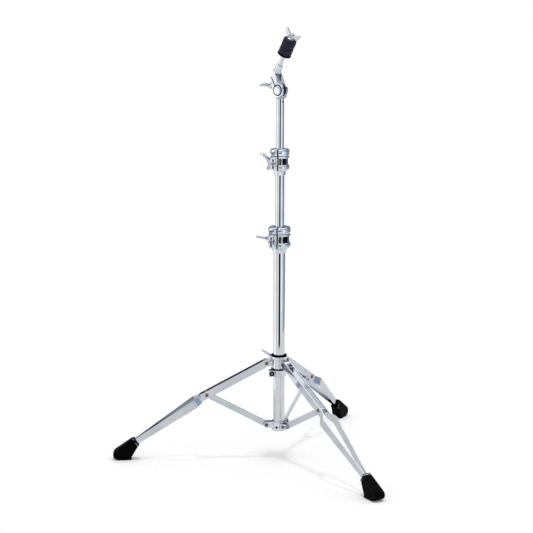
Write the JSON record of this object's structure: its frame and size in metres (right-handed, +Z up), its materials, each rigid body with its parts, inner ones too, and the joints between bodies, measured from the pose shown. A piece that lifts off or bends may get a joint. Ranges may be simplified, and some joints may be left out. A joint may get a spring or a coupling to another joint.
{
  "type": "cymbal stand",
  "caption": "Straight cymbal stand: telescoping chrome tubes on a folding double-braced tripod, with a tilter, felts and a wing nut on the cymbal rod.",
  "frame": {"origin": "on the floor, under the middle of the footprint", "axes": "+Z up along the tubes, -X towards the single leg on the left, -Y towards the viewer of the picture"},
  "size_m": [0.6245, 0.7206, 1.0541],
  "materials": {
    "chrome": "polished",
    "steel": "satin",
    "nylon": "matte",
    "rubber": "matte",
    "felt": "napped"
  },
  "bodies": {
    "base": {"base_tube": "chrome", "base_end_plug": "nylon", "leg_bracket": "chrome", "bracket_screw": "steel", "stop_ring": "chrome", "stop_ring_bolt": "steel", "lower_clamp_body": "chrome", "lower_clamp_screw": "steel", "leg_1_bracket_pin": "steel", "leg_2_bracket_pin": "steel", "leg_3_bracket_pin": "steel"},
    "collar": {"leg_collar": "chrome", "collar_upper_bushing": "nylon", "collar_lower_bushing": "nylon", "leg_1_collar_pin": "steel", "leg_2_collar_pin": "steel", "leg_3_collar_pin": "steel"},
    "collar_wing": {"collar_wing_bolt": "chrome"},
    "lower_bushing": {"lower_clamp_bushing": "nylon"},
    "lower_wing": {"lower_clamp_wing_bolt": "chrome"},
    "middle": {"middle_tube": "chrome", "middle_memory_lock": "chrome", "middle_lock_bolt": "steel", "upper_clamp_body": "chrome", "upper_clamp_screw": "steel"},
    "upper_bushing": {"upper_clamp_bushing": "nylon"},
    "upper_wing": {"upper_clamp_wing_bolt": "chrome"},
    "upper": {"upper_tube": "chrome", "upper_memory_lock": "chrome", "upper_lock_bolt": "steel", "tilter_base": "chrome", "tilter_set_screw": "steel", "tilter_bushing": "nylon", "tilter_cap": "chrome"},
    "tilter": {"tilter_arm": "chrome", "cymbal_rod": "chrome", "rod_sleeve": "nylon", "seat_washer": "nylon", "lower_felt": "felt", "upper_felt": "felt"},
    "tilter_wing": {"tilter_wing_bolt": "chrome"},
    "wing_nut": {"top_wing_nut": "chrome"},
    "leg_1": {"leg_1_rail_left": "chrome", "leg_1_rail_right": "chrome", "leg_1_foot": "rubber", "leg_1_strut_pin": "steel"},
    "strut_1": {"leg_1_strut": "chrome"},
    "leg_2": {"leg_2_rail_left": "chrome", "leg_2_rail_right": "chrome", "leg_2_foot": "rubber", "leg_2_strut_pin": "steel"},
    "strut_2": {"leg_2_strut": "chrome"},
    "leg_3": {"leg_3_rail_left": "chrome", "leg_3_rail_right": "chrome", "leg_3_foot": "rubber", "leg_3_strut_pin": "steel"},
    "strut_3": {"leg_3_strut": "chrome"}
  },
  "joints": [
    {"name": "strut_1_pivot", "type": "hinge", "parent": "base", "child": "strut_1", "pos_m": [0.06471, 0, 0.08282], "axis": [0, 1, 0], "range_deg": [0, 54]},
    {"name": "leg_1_pivot", "type": "hinge", "parent": "strut_1", "child": "leg_1", "pos_m": [-0.08172, 0, 0.16101], "axis": [0, -1, 0], "range_deg": [0, 108]},
    {"name": "collar_leg_1_pivot", "type": "hinge", "parent": "leg_1", "child": "collar", "pos_m": [0.06471, 0, 0.2392], "axis": [0, 1, 0], "range_deg": [0, 54]},
    {"name": "leg_2_pivot", "type": "hinge", "parent": "collar", "child": "leg_2", "pos_m": [0.11121, -0.02685, 0.2392], "axis": [0.866, 0.5, 0], "range_deg": [0, 54]},
    {"name": "strut_2_pivot", "type": "hinge", "parent": "base", "child": "strut_2", "pos_m": [0.11121, -0.02685, 0.08282], "axis": [-0.866, -0.5, 0], "range_deg": [0, 54]},
    {"name": "leg_3_pivot", "type": "hinge", "parent": "collar", "child": "leg_3", "pos_m": [0.11121, 0.02685, 0.2392], "axis": [-0.866, 0.5, 0], "range_deg": [0, 54]},
    {"name": "strut_3_pivot", "type": "hinge", "parent": "base", "child": "strut_3", "pos_m": [0.11121, 0.02685, 0.08282], "axis": [0.866, -0.5, 0], "range_deg": [0, 54]},
    {"name": "middle_turn", "type": "hinge", "parent": "base", "child": "lower_bushing", "pos_m": [0.09571, 0, 0.54832], "axis": [0, 0, 1], "continuous": true},
    {"name": "middle_height", "type": "slide", "parent": "lower_bushing", "child": "middle", "axis": [0, 0, 1], "range_m": [0, 0.18]},
    {"name": "upper_turn", "type": "hinge", "parent": "middle", "child": "upper_bushing", "pos_m": [0.09571, 0, 0.73682], "axis": [0, 0, 1], "continuous": true},
    {"name": "upper_height", "type": "slide", "parent": "upper_bushing", "child": "upper", "axis": [0, 0, 1], "range_m": [0, 0.16]},
    {"name": "cymbal_tilt", "type": "hinge", "parent": "upper", "child": "tilter", "pos_m": [0.0937, -0.00181, 0.90482], "axis": [0.7431, 0.6691, 0], "range_deg": [-26, 50]},
    {"name": "collar_wing_turn", "type": "hinge", "parent": "collar", "child": "collar_wing", "pos_m": [0.08351, 0.02113, 0.2472], "axis": [-0.5, 0.866, 0], "continuous": true},
    {"name": "lower_wing_turn", "type": "hinge", "parent": "base", "child": "lower_wing", "pos_m": [0.0745, 0.02121, 0.54282], "axis": [-0.7071, 0.7071, 0], "continuous": true},
    {"name": "upper_wing_turn", "type": "hinge", "parent": "middle", "child": "upper_wing", "pos_m": [0.07732, 0.01838, 0.73132], "axis": [-0.7071, 0.7071, 0], "continuous": true},
    {"name": "tilter_wing_turn", "type": "hinge", "parent": "tilter", "child": "tilter_wing", "pos_m": [0.07929, 0.0142, 0.91582], "axis": [-0.5795, 0.6436, -0.5], "continuous": true},
    {"name": "wing_nut_turn", "type": "hinge", "parent": "tilter", "child": "wing_nut", "pos_m": [0.11734, -0.02806, 1.02622], "axis": [0.3244, -0.3603, 0.8746], "continuous": true}
  ],
  "couplings": [
    {"joint": "leg_1_pivot", "follows": "strut_1_pivot", "ratio": 2},
    {"joint": "collar_leg_1_pivot", "follows": "strut_1_pivot", "ratio": 1},
    {"joint": "leg_2_pivot", "follows": "strut_1_pivot", "ratio": 1},
    {"joint": "leg_3_pivot", "follows": "strut_1_pivot", "ratio": 1},
    {"joint": "strut_2_pivot", "follows": "strut_1_pivot", "ratio": 1},
    {"joint": "strut_3_pivot", "follows": "strut_1_pivot", "ratio": 1}
  ]
}
